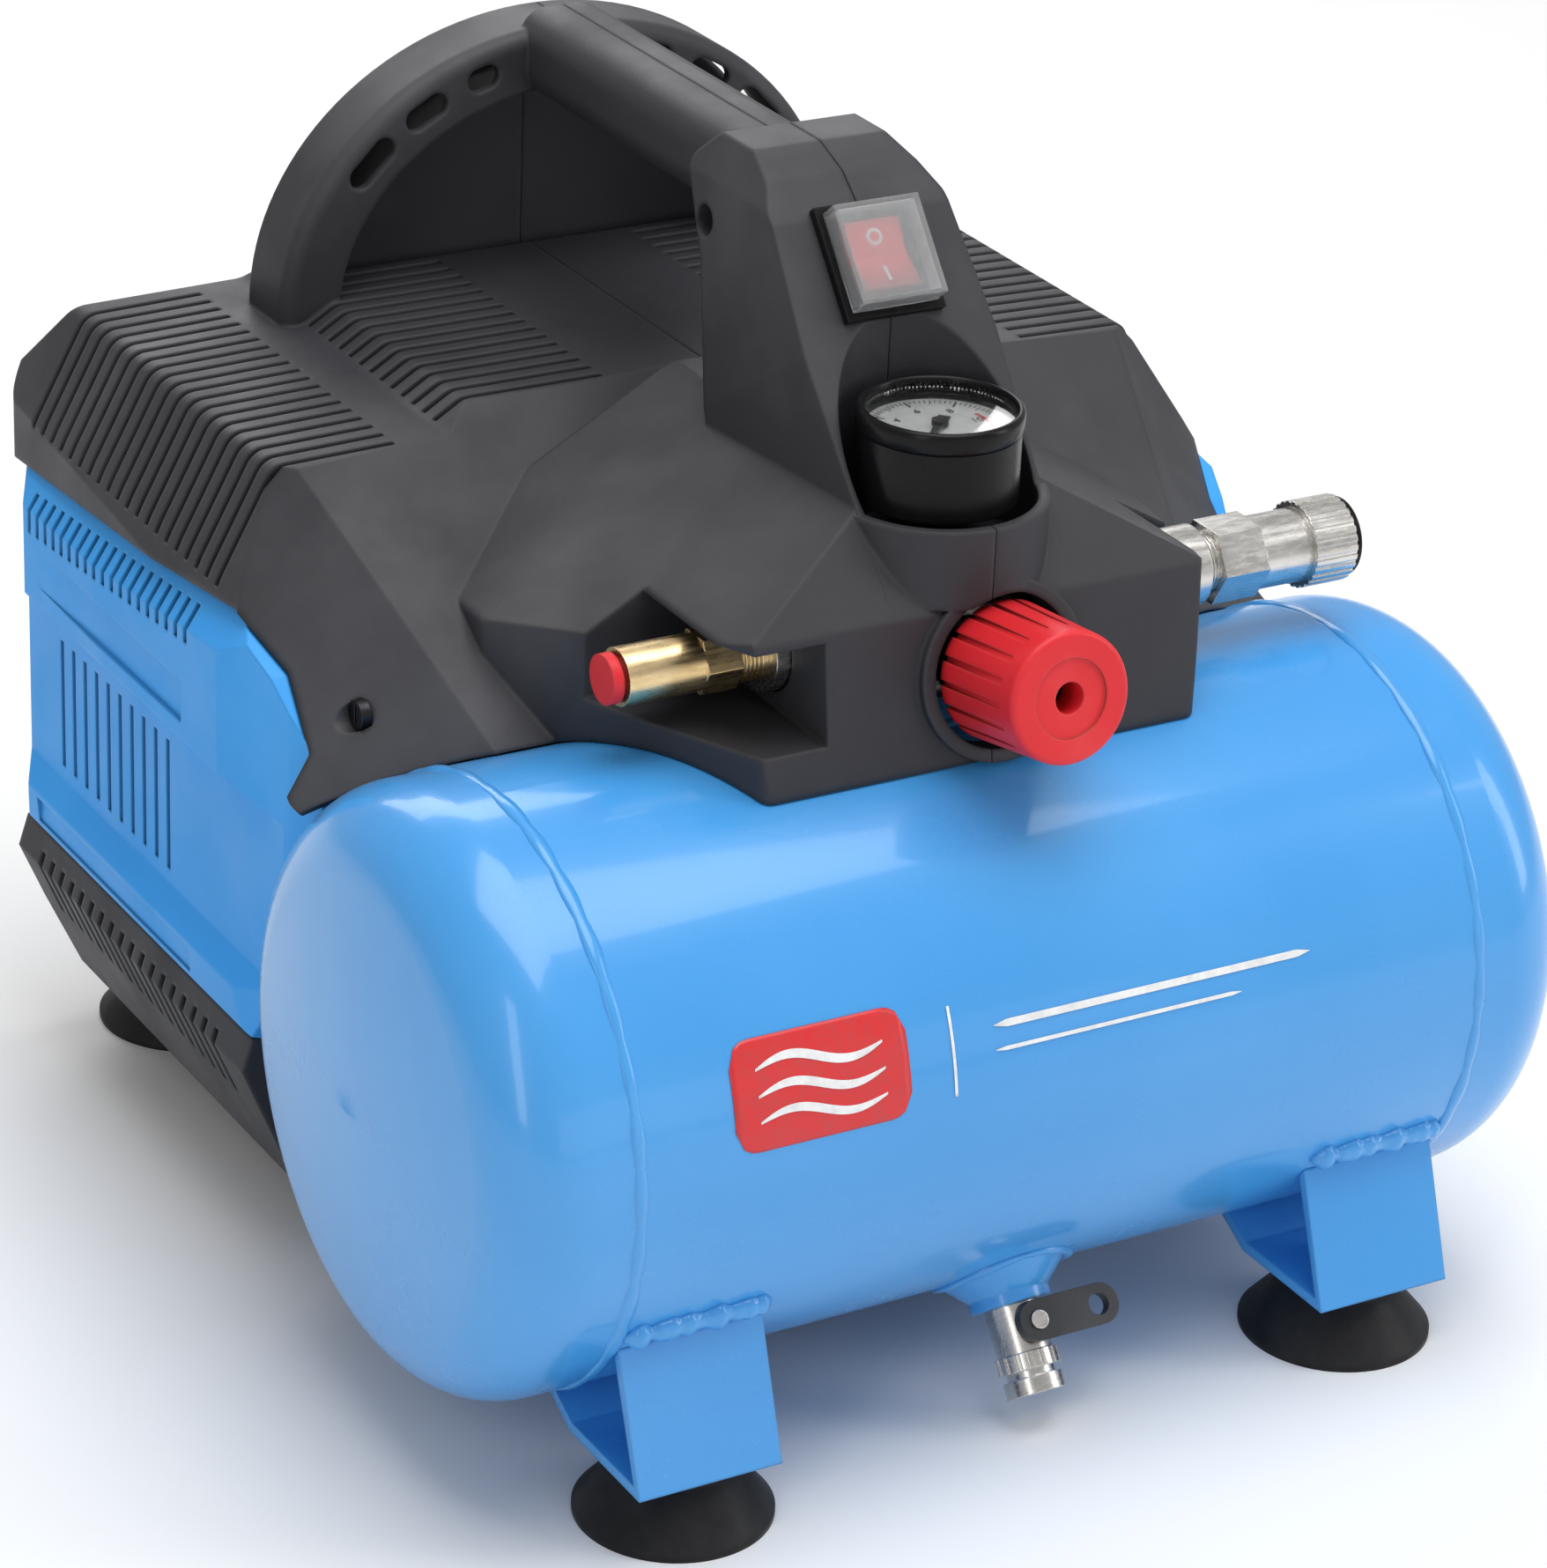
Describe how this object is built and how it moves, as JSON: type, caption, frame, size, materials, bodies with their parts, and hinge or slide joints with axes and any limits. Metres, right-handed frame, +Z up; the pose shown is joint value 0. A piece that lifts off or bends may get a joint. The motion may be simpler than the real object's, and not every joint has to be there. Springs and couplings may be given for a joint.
{
  "type": "air compressor",
  "caption": "Portable oil-free air compressor: horizontal tank with front controls, gauge, regulator and outlet, and a carrying handle over a vented pump hood.",
  "frame": {"origin": "centre of the footprint, on the floor", "axes": "+X to the right along the tank, +Y to the rear from the controls to the hood, +Z up"},
  "size_m": [0.332, 0.35, 0.3105],
  "materials": {
    "tank_blue": "gloss",
    "deck_black": "satin",
    "nickel": "satin",
    "lever_grey": "satin",
    "zinc_steel": "satin",
    "screw_black": "satin",
    "foot_rubber": "matte",
    "stator_steel": "matte",
    "cast_aluminium": "matte",
    "cast_iron": "matte",
    "seal_grey": "matte",
    "fan_black": "satin",
    "capacitor_can": "satin",
    "copper": "satin",
    "brass": "satin",
    "black_plastic": "satin",
    "red_plastic": "satin",
    "dial_white": "matte",
    "needle_black": "matte",
    "clear_plastic": "clear",
    "housing_charcoal": "fine texture",
    "cover_blue": "satin"
  },
  "bodies": {
    "chassis": {"tank_shell": "tank_blue", "tank_head_right": "tank_blue", "tank_head_left": "tank_blue", "tank_bosses": "tank_blue", "tank_brackets": "tank_blue", "base_deck": "deck_black", "drain_valve": "nickel", "drain_nut": "nickel", "coupler_body": "nickel", "manifold": "nickel", "foot_bolts": "zinc_steel", "head_bolts": "zinc_steel", "valve_plate": "zinc_steel", "shaft_bearings": "zinc_steel", "housing_screws": "screw_black", "foot_front_left": "foot_rubber", "foot_rear_left": "foot_rubber", "foot_front_right": "foot_rubber", "foot_rear_right": "foot_rubber", "vibration_mounts": "foot_rubber", "cord_gland": "foot_rubber", "motor_stator": "stator_steel", "motor_cradle": "cast_aluminium", "motor_end_bell": "cast_aluminium", "crankcase": "cast_aluminium", "cylinder": "cast_aluminium", "cylinder_head": "cast_aluminium", "intake_filter": "cast_aluminium", "capacitor": "capacitor_can", "delivery_tube": "copper", "check_valve": "brass", "safety_valve_body": "brass", "regulator_bonnet": "black_plastic", "gauge_case": "black_plastic", "pressure_switch": "black_plastic", "switch_frame": "black_plastic", "coupler_ring": "black_plastic", "gauge_dial": "dial_white", "gauge_lens": "clear_plastic", "switch_cover": "clear_plastic", "housing_left": "housing_charcoal", "housing_right": "housing_charcoal", "lower_cover_left": "housing_charcoal", "lower_cover_right": "housing_charcoal", "rear_panel": "housing_charcoal", "side_cover_left": "cover_blue", "side_cover_right": "cover_blue"},
    "shaft": {"motor_shaft": "zinc_steel", "motor_rotor": "stator_steel", "eccentric": "cast_iron", "cooling_fan_left": "fan_black", "cooling_fan_right": "fan_black"},
    "piston": {"piston_rod": "cast_aluminium", "piston_seal": "seal_grey"},
    "knob": {"regulator_knob": "red_plastic"},
    "needle": {"gauge_needle": "needle_black"},
    "valve_cap": {"safety_valve_cap": "red_plastic"},
    "sleeve": {"coupler_sleeve": "nickel"},
    "rocker": {"switch_rocker": "red_plastic"},
    "drain_lever_arm": {"drain_lever": "lever_grey"}
  },
  "joints": [
    {"name": "shaft_spin", "type": "hinge", "parent": "chassis", "child": "shaft", "pos_m": [0, 0.075, 0.112], "axis": [1, 0, 0], "continuous": true},
    {"name": "piston_stroke", "type": "slide", "parent": "chassis", "child": "piston", "axis": [0, 0, 1], "range_m": [-0.007, 0.007]},
    {"name": "knob_turn", "type": "hinge", "parent": "chassis", "child": "knob", "pos_m": [0.0045, -0.112, 0.1986], "axis": [0, -0.9877, 0.1564], "range_deg": [0, 270]},
    {"name": "needle_sweep", "type": "hinge", "parent": "chassis", "child": "needle", "pos_m": [0, -0.085, 0.254], "axis": [0, 0, -1], "range_deg": [0, 270]},
    {"name": "valve_cap_pull", "type": "slide", "parent": "chassis", "child": "valve_cap", "axis": [-1, 0, 0], "range_m": [0, 0.002], "stiffness_N_per_m": 1500},
    {"name": "sleeve_pull", "type": "slide", "parent": "chassis", "child": "sleeve", "axis": [-1, 0, 0], "range_m": [0, 0.003], "stiffness_N_per_m": 1500},
    {"name": "rocker_tip", "type": "hinge", "parent": "chassis", "child": "rocker", "pos_m": [0, -0.04963, 0.28723], "axis": [1, 0, 0], "range_deg": [0, 10]},
    {"name": "drain_turn", "type": "hinge", "parent": "chassis", "child": "drain_lever_arm", "pos_m": [0.001, -0.14649, 0.02414], "axis": [0, 0.788, -0.6157], "range_deg": [0, 90]}
  ]
}
